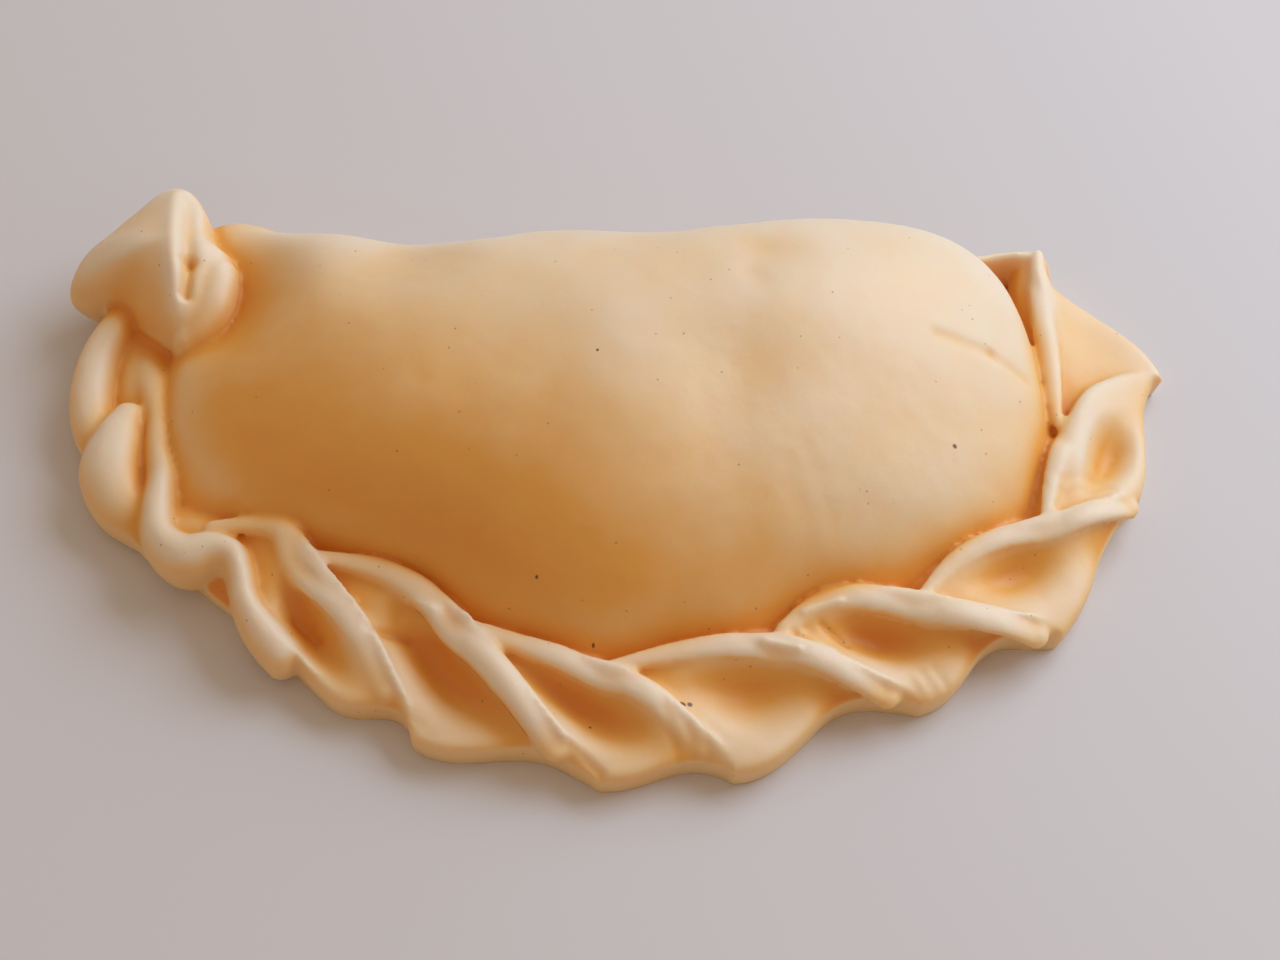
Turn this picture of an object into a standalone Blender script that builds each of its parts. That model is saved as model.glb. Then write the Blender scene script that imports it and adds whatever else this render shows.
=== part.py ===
"""A half-moon cheese pastry of raw dough, at its real size, as one solid.

A round of rolled dough is folded over its filling. Its straight side is the fold, at the back
(+Y). Its curved edge is turned over itself into a rope of overlapping folds (a repulgue), which
starts at a flap on the right (+X) and ends tucked into a knot on the left. The pastry rests on
its flat underside, at Z = 0. Sizes are in millimetres, and turned to metres at the end.
"""
import math

import bmesh
import bpy
import numpy as np
from mathutils import Vector

MM = 0.001

# The whole: the rope runs round the middle of the straight side, and angles along it are
# degrees from +X towards the front (-Y).
ROUND_MIDDLE = (-3.0, 22.0)
FLOOR_DEPTH = 1.5

# The filled pouch.
POUCH_TOP = (-4.0, 3.0)
POUCH_HEIGHT = 22.0
POUCH_UNDER_RIM = -0.4
POUCH_OFF_FLAP = -3.4
POUCH_KNOT_SIDE = (170.0, 49.0)
POUCH_BACK = 25.4
POUCH_CORNER = 3.0
POUCH_GIRTH_BACK = 8.0
POUCH_GIRTH_FRONT = 3.5
POUCH_SLOPE_BACK = 0.48
POUCH_SLOPE_FRONT = 0.66
BACK_FROM = -0.25
BACK_WHOLE = 0.6
POUCH_SOFTENING = 0.11
POUCH_UNDER_CURVE = 1.6

# Waves of the straight side, from above: place along X, half length, how far the side moves.
BACK_WAVES = (
    (-46.0, 9.0, 6.0),
    (-27.0, 7.5, -5.5),
    (6.0, 7.0, -1.2),
    (29.0, 13.0, 2.2),
)

# Swells and hollows of the pouch: place, half length along X and Y, turn in degrees, height.
POUCH_SWELLS = (
    (-4.0, 6.0, 7.0, 16.0, 14.0, 0.9),
    (-26.0, 6.0, 14.0, 18.0, 0.0, 1.2),
    (22.0, 10.0, 17.0, 14.0, 0.0, 2.4),
    (10.0, -2.0, 5.0, 8.0, -25.0, -0.9),
    (13.0, 16.0, 4.0, 4.0, 0.0, -0.7),
    (-48.0, 19.0, 7.0, 7.0, 0.0, -5.0),
)

# The rope's folds, from the flap to the knot. Each crest crosses the rope from its inner rim to
# its outer tip: (inner degrees, inner radius, outer degrees, outer radius, sweep, hook, height,
# wall, dish, lip, notch). A high sweep keeps a crest along the rim before it turns out. The hook
# bows it inwards. The wall is its drop to the fold before it. Between a crest and the next lie
# the fold's dish, its lip over the pouch and the notch of its outer edge.
FOLDS = (
    (-6.0, 48.4, -7.5, 52.0, 1.0, 0.0, 7.4, 0.0, 2.0, -0.6, 2.4),
    (22.8, 52.6, 10.5, 60.9, 3.0, 0.0, 7.6, 2.0, 2.0, 1.2, 1.2),
    (35.1, 56.0, 25.2, 62.8, 1.0, 0.0, 7.8, 2.0, 2.6, 3.3, 2.0),
    (52.5, 53.4, 43.8, 64.8, 1.0, 0.0, 8.4, 2.6, 3.2, 4.5, 3.6),
    (69.9, 50.4, 58.9, 62.2, 1.3, 0.0, 8.4, 2.4, 3.0, 2.2, 3.8),
    (90.5, 51.0, 77.6, 63.6, 1.8, 0.0, 8.4, 2.8, 2.6, 1.3, 2.8),
    (108.4, 48.4, 90.5, 62.6, 1.4, 0.0, 8.6, 2.6, 3.6, 4.4, 2.6),
    (131.0, 49.6, 108.4, 60.8, 2.6, 0.0, 9.0, 3.6, 3.2, 4.4, 2.0),
    (142.6, 54.6, 118.9, 59.5, 1.0, 2.8, 8.4, 3.2, 1.6, -2.0, 2.0),
    (153.0, 54.0, 147.0, 58.4, 1.0, 0.0, 6.6, 0.0, 0.0, 0.0, 0.0),
)
RIM_HEIGHT = 3.9
TUCK_UNDER = 1.07
CREST_ROUNDING = 0.9
CREST_ROUNDED = 0.14
WALL_AT_RIM = 0.4
WALL_OPENS = 0.2

# Powers that set where along a fold its bow, lip, notch and dish are deepest.
BOW_POWER = 0.6
LIP_POWER = 0.6
NOTCH_POWER = 0.75
DISH_ALONG_POWER = 1.5
DISH_ACROSS_POWER = 0.8

# The edges of the rope's section. Under the inner rim: (how far in, how far down) each row lies,
# and how far in its foot stands. Past the outer rim: (how far out, share of the rim's height).
NOSE_ROWS = ((1.1, 2.0), (0.8, 0.7))
INNER_FOOT = 1.2
OUTER_ROWS = ((0.9, 0.78), (1.1, 0.45), (0.3, 0.0))
OUTER_FOOT = 1.0

# The sheet of dough under everything.
SHEET_TOP = 2.6
SHEET_INSET = 2.4
SHEET_BACK = ((-57.0, 16.0), (-53.0, 24.0), (-37.0, 19.0), (-16.0, 19.0), (30.0, 24.0), (46.0, 25.0))

# Straps of dough, each a run of (x, y, z, half width, half height): the band that rises from
# the last fold along the pouch, the puffed face and the loop beside it, the floor between them,
# the knot's hood with its tucked strip and curled end, and the web behind the flap.
BAND = (
    (-52.2, 8.0, 4.2, 1.7, 2.8),
    (-51.9, 1.5, 4.4, 1.8, 3.0),
    (-51.3, -3.5, 4.6, 1.9, 3.2),
    (-51.4, -9.0, 4.8, 2.1, 3.2),
    (-49.8, -12.8, 4.9, 2.4, 3.4),
    (-46.8, -14.6, 4.9, 2.8, 3.8),
    (-43.4, -14.2, 5.0, 2.4, 4.0),
    (-40.9, -15.2, 5.2, 2.0, 3.8),
    (-39.2, -18.8, 4.6, 1.9, 3.6),
    (-36.6, -22.8, 3.8, 1.8, 3.2),
)
PUFF = (
    (-55.2, 5.4, 3.6, 2.4, 3.6),
    (-56.6, 1.4, 3.6, 3.4, 4.2),
    (-57.0, -3.4, 3.4, 3.7, 4.2),
    (-55.6, -8.0, 3.0, 3.2, 3.6),
    (-52.6, -11.6, 2.4, 2.2, 2.6),
)
LOOP = (
    (-55.5, 20.5, 4.4, 2.0, 3.0),
    (-59.2, 17.2, 4.4, 1.9, 3.0),
    (-61.4, 12.6, 3.6, 1.8, 3.2),
    (-61.6, 7.6, 3.2, 1.9, 3.0),
    (-60.0, 2.4, 3.0, 2.0, 2.8),
    (-56.6, -1.4, 2.6, 2.0, 2.4),
)
HOLLOW_FLOOR = (
    (-51.5, 24.5, 2.6, 4.0, 3.4),
    (-55.0, 20.0, 1.2, 4.5, 2.6),
    (-55.5, 14.0, 1.2, 5.0, 2.8),
    (-55.0, 8.0, 1.2, 5.2, 3.0),
    (-54.0, 0.0, 1.2, 4.6, 3.0),
    (-51.0, -8.0, 1.8, 4.0, 3.4),
    (-46.6, -11.2, 2.6, 3.4, 3.6),
)
HOOD = (
    (-62.8, 21.6, 6.6, 2.4, 3.2),
    (-60.4, 22.6, 7.4, 4.0, 4.0),
    (-57.8, 23.2, 8.2, 6.4, 5.2),
    (-55.4, 23.3, 8.8, 8.2, 6.2),
    (-53.0, 22.7, 8.8, 9.2, 6.6),
)
TUCK = (
    (-51.2, 29.8, 9.4, 1.5, 4.2),
    (-49.8, 26.4, 9.8, 1.7, 4.2),
    (-48.2, 23.4, 9.4, 1.7, 3.8),
)
CURL = (
    (-46.9, 22.0, 9.6, 2.8, 3.4),
    (-47.2, 19.0, 9.0, 3.2, 3.8),
    (-48.6, 16.4, 7.6, 3.0, 3.8),
    (-50.6, 14.8, 6.4, 2.2, 3.2),
)
WEB = (
    (36.0, 23.6, 4.4, 2.6, 4.0),
    (41.0, 25.4, 4.2, 2.4, 3.8),
    (46.4, 26.2, 3.8, 2.0, 3.6),
)
STRAPS = {
    "band": BAND,
    "puff": PUFF,
    "loop": LOOP,
    "hollow_floor": HOLLOW_FLOOR,
    "hood": HOOD,
    "tuck": TUCK,
    "curl": CURL,
    "web": WEB,
}
STRAP_CAP = 1.6

# How finely the skins are laid out, and how the pieces are fused: the grid they are fused on,
# how often the fused skin is smoothed, and the share of its faces that is kept.
STEPS = 14
UNDER_STEPS = (0.72, 0.4, 0.16)
POUCH_COLUMNS = 120
POUCH_ROWS = 22
STRAP_SIDES = 20
STRAP_STEPS = 5
STRAP_CAP_STEPS = 4
TANGENT_STEP = 0.05
RIM_STEPS = (0.0, 0.15, 0.5, 0.85)
WIDEST_REACH = 80.0
HALVINGS = 40
FUSE_GRID = 0.6
FUSE_SMOOTHING = 1
KEPT_FACES = 0.07

DOUGH_COLOUR = (0.78, 0.58, 0.33, 1.0)
DOUGH_ROUGHNESS = 0.5
SHARP_DEGREES = 50.0


def swell(distance):
    """A smooth bump: 1 at no distance, about 0.37 at 1, and nothing far away."""
    return np.exp(-distance * distance)


def crest_line(fold, cross):
    """Angle and radius of a fold's crest, from the inner rim (0) to the outer tip (1)."""
    inner_deg, inner_radius, outer_deg, outer_radius, sweep, hook = fold[:6]
    degrees = inner_deg + (outer_deg - inner_deg) * cross
    bow = hook * math.sin(math.pi * cross ** BOW_POWER)
    return degrees, inner_radius + (outer_radius - inner_radius) * cross ** sweep - bow


def crest_height(fold, cross):
    """Height of a fold's crest, which sinks to the rim at its outer tip."""
    height = fold[6]
    return height + (RIM_HEIGHT - height) * cross ** 3


def wall_height(fold, cross):
    """Drop from a fold's crest to the fold before it, which opens just off the inner rim."""
    opened = min(1.0, WALL_AT_RIM + (1.0 - WALL_AT_RIM) * cross / WALL_OPENS)
    return fold[7] * (1.0 - cross ** 3) * opened


def rope_top(index, step, cross):
    """Angle, radius and height of the rope between one crest (step 0) and the next (step 1)."""
    fold, following = FOLDS[index], FOLDS[index + 1]
    dish, lip, notch = fold[8:11]
    start_deg, start_radius = crest_line(fold, cross)
    end_deg, end_radius = crest_line(following, cross)
    degrees = start_deg + (end_deg - start_deg) * step
    radius = start_radius + (end_radius - start_radius) * step
    fall = min(step, 1.0)
    radius -= lip * abs(math.sin(math.pi * fall)) ** LIP_POWER * (1.0 - cross) ** 2
    radius -= notch * math.sin(math.pi * step ** NOTCH_POWER) ** 2 * cross ** 2
    ease = fall * fall * (3.0 - 2.0 * fall)
    foot = crest_height(following, cross) - wall_height(following, cross)
    height = crest_height(fold, cross) * (1.0 - ease) + foot * ease
    across = math.sin(math.pi * cross ** DISH_ACROSS_POWER)
    height -= dish * math.sin(math.pi * fall ** DISH_ALONG_POWER) * across
    height -= CREST_ROUNDING * max(0.0, 1.0 - step / CREST_ROUNDED) ** 2
    return degrees, radius, height


def to_plan(degrees, radius):
    """A place on the rope, as seen from above."""
    angle = math.radians(degrees)
    x = ROUND_MIDDLE[0] + radius * math.cos(angle)
    y = ROUND_MIDDLE[1] - radius * math.sin(angle)
    return x, y


def rope_section(index, step):
    """The closed outline across the rope, from its hidden inner foot over the top and back."""
    rim = rope_top(index, step, 0.0)
    outer = rope_top(index, step, 1.0)
    underside = [rope_top(index, step, cross)[:2] for cross in UNDER_STEPS]
    section = [(rim[0], rim[1] - INNER_FOOT, -FLOOR_DEPTH)]
    section += [(rim[0], rim[1] - inset, rim[2] - drop) for inset, drop in NOSE_ROWS]
    section += [rope_top(index, step, row / STEPS) for row in range(STEPS + 1)]
    section += [(outer[0], outer[1] + outset, outer[2] * share) for outset, share in OUTER_ROWS]
    section.append((outer[0], outer[1] - OUTER_FOOT, -FLOOR_DEPTH))
    section += [(degrees, radius, -FLOOR_DEPTH) for degrees, radius in underside]
    return [(*to_plan(degrees, radius), height) for degrees, radius, height in section]


def make_object(name, vertices, faces):
    """A new mesh object in millimetres, its faces turned outwards."""
    mesh = bpy.data.meshes.new(name)
    mesh.from_pydata([Vector(vertex) for vertex in vertices], [], faces)
    work = bmesh.new()
    work.from_mesh(mesh)
    bmesh.ops.remove_doubles(work, verts=work.verts, dist=0.0005)
    bmesh.ops.triangulate(work, faces=[face for face in work.faces if len(face.verts) > 4])
    bmesh.ops.recalc_face_normals(work, faces=work.faces)
    work.to_mesh(mesh)
    work.free()
    made = bpy.data.objects.new(name, mesh)
    bpy.context.scene.collection.objects.link(made)
    return made


def loft(name, rings):
    """A closed skin over rings of equally many points, with a flat face at each end."""
    count = len(rings[0])
    vertices = [point for ring in rings for point in ring]
    faces = [tuple(range(count)), tuple(range((len(rings) - 1) * count, len(rings) * count))]
    for row in range(len(rings) - 1):
        for column in range(count):
            after = (column + 1) % count
            faces.append((
                row * count + column,
                row * count + after,
                (row + 1) * count + after,
                (row + 1) * count + column,
            ))
    return make_object(name, vertices, faces)


def make_fold(index):
    """One fold of the rope, from its crest to where it is tucked under the next crest."""
    steps = [TUCK_UNDER * column / STEPS for column in range(STEPS + 1)]
    return loft(f"fold_{index}", [rope_section(index, step) for step in steps])


def back_side(x):
    """How far back the straight side reaches at this X."""
    return POUCH_BACK + sum(move * swell((x - place) / half) for place, half, move in BACK_WAVES)


def front_reach(degrees):
    """How far the pouch reaches from the round's middle: just under the rope's inner rim."""
    angles, reaches = [], []
    for index in range(len(FOLDS) - 1):
        for step in RIM_STEPS:
            angle, radius, _ = rope_top(index, step, 0.0)
            angles.append(angle)
            reaches.append(radius + (POUCH_UNDER_RIM if index else POUCH_OFF_FLAP))
    angles.append(POUCH_KNOT_SIDE[0])
    reaches.append(POUCH_KNOT_SIDE[1])
    return float(np.interp(degrees, angles, reaches))


def outside_pouch(x, y):
    """Distance outside the pouch's outline from above, below zero inside it."""
    from_middle_x, from_middle_y = x - ROUND_MIDDLE[0], ROUND_MIDDLE[1] - y
    degrees = math.degrees(math.atan2(from_middle_y, from_middle_x))
    if degrees < -90.0:
        degrees += 360.0
    front = math.hypot(from_middle_x, from_middle_y) - front_reach(degrees)
    back = y - back_side(x)
    return math.exp(front / POUCH_CORNER) + math.exp(back / POUCH_CORNER) - 1.0


def pouch_reach(angle):
    """Distance from the pouch's top to its outline, in a direction from above."""
    near, far = 0.0, WIDEST_REACH
    for _ in range(HALVINGS):
        middle = 0.5 * (near + far)
        x = POUCH_TOP[0] + middle * math.cos(angle)
        y = POUCH_TOP[1] + middle * math.sin(angle)
        if outside_pouch(x, y) < 0.0:
            near = middle
        else:
            far = middle
    return near


def pouch_swells(x, y):
    """The pouch's soft swells and hollows at a place."""
    total = 0.0
    for place_x, place_y, half_x, half_y, turn, height in POUCH_SWELLS:
        angle = math.radians(turn)
        along = (x - place_x) * math.cos(angle) + (y - place_y) * math.sin(angle)
        aside = (y - place_y) * math.cos(angle) - (x - place_x) * math.sin(angle)
        total += height * swell(math.hypot(along / half_x, aside / half_y))
    return total


def make_sheet():
    """The sheet of dough under the pouch and the rope, which closes the grooves between them."""
    outline = list(SHEET_BACK)
    for index in range(len(FOLDS) - 1):
        for step in (0.0, 0.5):
            degrees, radius, _ = rope_top(index, step, 1.0)
            outline.append(to_plan(degrees, radius - SHEET_INSET))
    return loft("sheet", [[(x, y, z) for x, y in outline] for z in (-FLOOR_DEPTH, SHEET_TOP)])


def soften(values, width):
    """The values round a ring, averaged over a width given as a share of the ring."""
    count = len(values)
    if width * count < 0.5:
        return values
    away = np.minimum(np.arange(count), count - np.arange(count)) / (width * count)
    weights = swell(away)
    weights /= weights.sum()
    return [float(np.dot(np.roll(weights, column), values)) for column in range(count)]


def backness_at(angle):
    """How far a side of the pouch counts as its back: 0 at the front, 1 at the back."""
    part = (math.sin(angle) - BACK_FROM) / (BACK_WHOLE - BACK_FROM)
    part = min(max(part, 0.0), 1.0)
    return part * part * (3.0 - 2.0 * part)


def make_pouch():
    """The filled pouch: rings from its top down to its girth, and in again underneath."""
    rings = []
    angles = [2.0 * math.pi * column / POUCH_COLUMNS for column in range(POUCH_COLUMNS)]
    outline = [pouch_reach(angle) for angle in angles]
    for row in range(1, POUCH_ROWS + 4):
        lean = 0.5 * math.pi * row / POUCH_ROWS
        inside = 1.0 - math.sin(min(lean, 0.5 * math.pi))
        reaches = soften(outline, POUCH_SOFTENING * math.sqrt(inside))
        ring = []
        for angle, reach in zip(angles, reaches):
            backness = backness_at(angle)
            girth = POUCH_GIRTH_FRONT + (POUCH_GIRTH_BACK - POUCH_GIRTH_FRONT) * backness
            slope = POUCH_SLOPE_FRONT + (POUCH_SLOPE_BACK - POUCH_SLOPE_FRONT) * backness
            x = POUCH_TOP[0] + reach * math.sin(lean) * math.cos(angle)
            y = POUCH_TOP[1] + reach * math.sin(lean) * math.sin(angle)
            if row <= POUCH_ROWS:
                up = max(math.cos(lean), 0.0) ** (2.0 * slope)
                height = girth + (POUCH_HEIGHT - girth) * up + pouch_swells(x, y) * up ** 0.7
            else:
                height = girth + (girth + FLOOR_DEPTH) * math.cos(lean) * POUCH_UNDER_CURVE
            ring.append((x, y, height))
        rings.append(ring)
    return loft("pouch", rings)


def smooth_run(points, position):
    """A point on a smooth curve through the given points (whole positions are the points)."""
    values = [np.array(point, dtype=float) for point in points]
    index = min(int(position), len(values) - 2)
    part = position - index
    before = values[max(index - 1, 0)]
    start, end = values[index], values[index + 1]
    after = values[min(index + 2, len(values) - 1)]
    return 0.5 * (
        2.0 * start
        + (end - before) * part
        + (2.0 * before - 5.0 * start + 4.0 * end - after) * part ** 2
        + (3.0 * start - before - 3.0 * end + after) * part ** 3
    )


def strap_ring(run, position, shrink, shift):
    """One oval ring across a strap, square to its run as seen from above."""
    x, y, z, half_width, half_height = smooth_run(run, position)
    ahead = smooth_run(run, min(position + TANGENT_STEP, len(run) - 1))
    behind = smooth_run(run, max(position - TANGENT_STEP, 0.0))
    along = Vector((ahead[0] - behind[0], ahead[1] - behind[1], 0.0)).normalized()
    aside = Vector((-along.y, along.x, 0.0))
    up = Vector((0.0, 0.0, 1.0))
    middle = Vector((x, y, z)) + along * shift
    ring = []
    for side in range(STRAP_SIDES):
        angle = 2.0 * math.pi * side / STRAP_SIDES
        ring.append(
            middle
            + aside * (half_width * shrink * math.cos(angle))
            + up * (half_height * shrink * math.sin(angle))
        )
    return ring


def make_strap(name, run):
    """A strap of dough with round ends, along a smooth run."""
    last = len(run) - 1
    leans = [0.5 * math.pi * step / STRAP_CAP_STEPS for step in range(1, STRAP_CAP_STEPS)]
    rings = [strap_ring(run, 0.0, math.sin(lean), -STRAP_CAP * math.cos(lean)) for lean in leans]
    for step in range(last * STRAP_STEPS + 1):
        rings.append(strap_ring(run, step / STRAP_STEPS, 1.0, 0.0))
    leans.reverse()
    rings += [strap_ring(run, last, math.sin(lean), STRAP_CAP * math.cos(lean)) for lean in leans]
    return loft(name, rings)


def make_block():
    """The space above the resting face, which cuts the underside flat."""
    reach, top = 90.0, 60.0
    corners = [(x, y) for x, y in ((-reach, -reach), (reach, -reach), (reach, reach), (-reach, reach))]
    return loft("block", [[(x, y, z) for x, y in corners] for z in (0.0, top)])


def apply_modifiers(target):
    """Give an object the mesh that its modifiers make, and drop them."""
    graph = bpy.context.evaluated_depsgraph_get()
    result = bpy.data.meshes.new_from_object(target.evaluated_get(graph))
    target.modifiers.clear()
    target.data = result


def drop_crumbs(mesh):
    """Keep only the largest body of a mesh."""
    work = bmesh.new()
    work.from_mesh(mesh)
    bodies, seen = [], set()
    for start in work.verts:
        if start in seen:
            continue
        body, edge = [], [start]
        seen.add(start)
        while edge:
            vertex = edge.pop()
            body.append(vertex)
            for link in vertex.link_edges:
                other = link.other_vert(vertex)
                if other not in seen:
                    seen.add(other)
                    edge.append(other)
        bodies.append(body)
    bodies.sort(key=len)
    for body in bodies[:-1]:
        bmesh.ops.delete(work, geom=body, context="VERTS")
    work.to_mesh(mesh)
    work.free()


def fuse(pieces):
    """One skin round all the pieces, with soft edges and few faces."""
    pastry = pieces[0]
    work = bmesh.new()
    for piece in pieces:
        work.from_mesh(piece.data)
    work.to_mesh(pastry.data)
    work.free()
    for piece in pieces[1:]:
        bpy.data.objects.remove(piece)
    remesh = pastry.modifiers.new("fuse", "REMESH")
    remesh.mode = "VOXEL"
    remesh.voxel_size = FUSE_GRID
    smooth = pastry.modifiers.new("soften", "SMOOTH")
    smooth.iterations = FUSE_SMOOTHING
    lighten = pastry.modifiers.new("lighten", "DECIMATE")
    lighten.ratio = KEPT_FACES
    apply_modifiers(pastry)
    drop_crumbs(pastry.data)
    return pastry


def cut_flat(pastry):
    """Cut the underside flat at Z = 0."""
    block = make_block()
    cut = pastry.modifiers.new("flat", "BOOLEAN")
    cut.operation = "INTERSECT"
    cut.object = block
    cut.solver = "EXACT"
    apply_modifiers(pastry)
    bpy.data.objects.remove(block)


def dough():
    """Pale raw dough."""
    material = bpy.data.materials.new("dough")
    material.use_nodes = True
    shader = material.node_tree.nodes["Principled BSDF"]
    shader.inputs["Base Color"].default_value = DOUGH_COLOUR
    shader.inputs["Roughness"].default_value = DOUGH_ROUGHNESS
    shader.inputs["Metallic"].default_value = 0.0
    return material


def finish(pastry):
    """Centre the pastry over the origin, in metres, and give it its dough."""
    mesh = pastry.data
    work = bmesh.new()
    work.from_mesh(mesh)
    xs = [vertex.co.x for vertex in work.verts]
    ys = [vertex.co.y for vertex in work.verts]
    middle = (0.5 * (min(xs) + max(xs)), 0.5 * (min(ys) + max(ys)))
    bmesh.ops.translate(work, verts=work.verts, vec=(-middle[0], -middle[1], 0.0))
    bmesh.ops.triangulate(work, faces=work.faces)
    bmesh.ops.scale(work, verts=work.verts, vec=(MM, MM, MM))
    work.to_mesh(mesh)
    work.free()
    mesh.materials.clear()
    mesh.materials.append(dough())
    mesh.shade_smooth()
    mesh.set_sharp_from_angle(angle=math.radians(SHARP_DEGREES))


def main():
    """Build the pastry."""
    for old in list(bpy.data.objects):
        bpy.data.objects.remove(old)
    folds = [make_fold(index) for index in range(len(FOLDS) - 1)]
    straps = [make_strap(name, run) for name, run in STRAPS.items()]
    pastry = fuse([make_pouch(), make_sheet()] + folds + straps)
    cut_flat(pastry)
    pastry.name = "pastry"
    finish(pastry)


main()
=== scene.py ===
"""A half-moon cheese pastry of raw dough, and a plain studio round it.

The pastry is modelled as it is made by hand: a filled pouch of rolled dough, whose curved edge is
turned over itself into a rope of overlapping folds, from a flap on the right to a knot on the
left. The pieces are laid out in millimetres, fused into one skin, worked over with the dough's
small dents and wrinkles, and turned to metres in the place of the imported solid.
"""

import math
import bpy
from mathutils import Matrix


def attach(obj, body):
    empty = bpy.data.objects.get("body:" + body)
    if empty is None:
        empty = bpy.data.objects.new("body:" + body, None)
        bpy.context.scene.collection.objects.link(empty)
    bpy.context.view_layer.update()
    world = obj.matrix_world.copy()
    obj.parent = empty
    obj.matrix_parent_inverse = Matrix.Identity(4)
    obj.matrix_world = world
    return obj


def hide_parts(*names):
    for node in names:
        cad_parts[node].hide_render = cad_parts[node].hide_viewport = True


bl_info = {
    "name": "Half-moon cheese pastry",
    "version": (1, 0, 0),
    "blender": (4, 5, 0),
    "location": "View3D > Sidebar > Pastry",
    "description": "Models a crimped cheese pastry of raw dough and a plain studio round it",
    "category": "Add Mesh",
}

import bmesh
import bpy
import numpy as np
from bpy.props import FloatProperty, FloatVectorProperty, IntProperty, PointerProperty
from mathutils import Vector

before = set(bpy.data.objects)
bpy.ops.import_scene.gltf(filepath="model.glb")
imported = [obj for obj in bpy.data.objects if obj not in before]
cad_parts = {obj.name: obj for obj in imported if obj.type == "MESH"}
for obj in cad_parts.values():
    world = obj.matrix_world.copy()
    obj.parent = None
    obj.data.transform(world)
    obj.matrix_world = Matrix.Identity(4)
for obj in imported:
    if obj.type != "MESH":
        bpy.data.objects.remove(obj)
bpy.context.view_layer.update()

MM = 0.001

# The whole: the rope runs round the middle of the straight side, and angles along it are
# degrees from +X towards the front (-Y). The plan's own middle is moved onto the solid's.
ROUND_MIDDLE = (-3.0, 22.0)
PLAN_MIDDLE = (-3.21, -5.09)
FLOOR_DEPTH = 1.5

# The filled pouch: where its top is from above, how its outline stands off the rope's rim, the
# flap and the knot, its rounded corner, its girths and slopes, and where it counts as its back.
POUCH_TOP = (-4.0, 3.0)
POUCH_UNDER_RIM = -0.4
POUCH_OFF_FLAP = -5.5
POUCH_OFF_FLAP_POWER = 3
POUCH_KNOT_SIDE = (170.0, 49.0)
POUCH_BACK = 25.4
POUCH_CORNER = 3.0
POUCH_GIRTH_BACK = 8.0
POUCH_GIRTH_FRONT = 3.5
POUCH_SLOPE_BACK = 0.48
POUCH_SLOPE_FRONT = 0.66
BACK_FROM = -0.25
BACK_WHOLE = 0.6
POUCH_SOFTENING = 0.11
POUCH_UNDER_CURVE = 1.6
POUCH_SWELL_FADE = 0.7

# Waves of the straight side, from above: place along X, half length, how far the side moves.
BACK_WAVES = (
    (-46.0, 9.0, 5.0),
    (-27.0, 7.5, -5.5),
    (6.0, 7.0, -1.2),
    (29.0, 13.0, 2.2),
)

# Swells and hollows of the pouch: place, half length along X and Y, turn in degrees, height.
POUCH_SWELLS = (
    (-4.0, 6.0, 7.0, 16.0, 14.0, 0.9),
    (-26.0, 6.0, 14.0, 18.0, 0.0, 1.2),
    (22.0, 10.0, 17.0, 14.0, 0.0, 2.4),
    (10.0, -2.0, 5.0, 8.0, -25.0, -0.9),
    (13.0, 16.0, 4.0, 4.0, 0.0, -0.7),
    (-46.5, 17.0, 8.0, 9.0, 0.0, -9.6),
    (-26.0, 19.0, 7.0, 8.0, 0.0, -3.2),
    (-39.0, 21.0, 7.0, 6.0, 0.0, 1.4),
)

# The rope's folds, from the flap to the knot. Each crest crosses the rope from its inner rim to
# its outer tip: (inner degrees, inner radius, outer degrees, outer radius, sweep, hook, height,
# wall, dish, lip, notch). A high sweep keeps a crest along the rim before it turns out. The hook
# bows it inwards. The wall is its drop to the fold before it. Between a crest and the next lie
# the fold's dish, its lip over the pouch and the notch of its outer edge.
FOLDS = (
    (-6.0, 47.6, -8.0, 49.0, 1.0, 0.0, 7.4, 0.0, 0.3, 2.9, 3.6),
    (22.8, 52.6, 8.6, 60.5, 3.0, 0.0, 7.6, 2.2, 2.4, 1.2, 1.4),
    (35.1, 56.0, 24.3, 62.3, 1.0, 0.0, 7.8, 1.4, 2.8, 3.3, 1.6),
    (52.5, 53.4, 42.1, 64.1, 1.0, 0.0, 8.4, 1.8, 3.4, 4.5, 3.2),
    (69.9, 50.4, 57.9, 61.6, 1.3, 0.0, 8.4, 1.6, 2.6, 2.2, 4.2),
    (90.5, 51.0, 77.1, 62.0, 1.8, 0.0, 8.4, 1.8, 2.8, 1.3, 2.0),
    (108.4, 48.4, 90.5, 61.6, 1.4, 0.0, 8.6, 2.0, 3.2, 4.4, 2.6),
    (131.0, 49.6, 108.4, 60.4, 2.6, 0.0, 9.0, 2.2, 2.8, 4.4, 2.4),
    (142.6, 54.6, 118.9, 59.3, 1.0, 1.2, 8.0, 1.6, 2.6, -2.0, 2.0),
    (153.0, 54.0, 147.0, 57.6, 1.0, 0.0, 6.6, 0.0, 0.0, 0.0, 0.0),
)
RIM_HEIGHT = 3.9
TUCK_UNDER = 1.07
WALL_AT_RIM = 0.4
WALL_OPENS = 0.2

# Powers that set where along a fold its bow, lip, notch and dish are deepest, how late a crest
# sinks to the rim and how late its wall fades.
BOW_POWER = 0.6
LIP_POWER = 0.6
NOTCH_POWER = 0.75
DISH_ACROSS_POWER = 0.72
DISH_SHARPNESS = 1.7
CREST_SINK_POWER = 2.5
WALL_FADE_POWER = 3

# How wide a crest and a lip stay level before the dish begins. A crest spreads outwards.
CREST_WIDTH = 3.4
CREST_SPREAD = 2.8
LIP_WIDTH = 2.4

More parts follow.
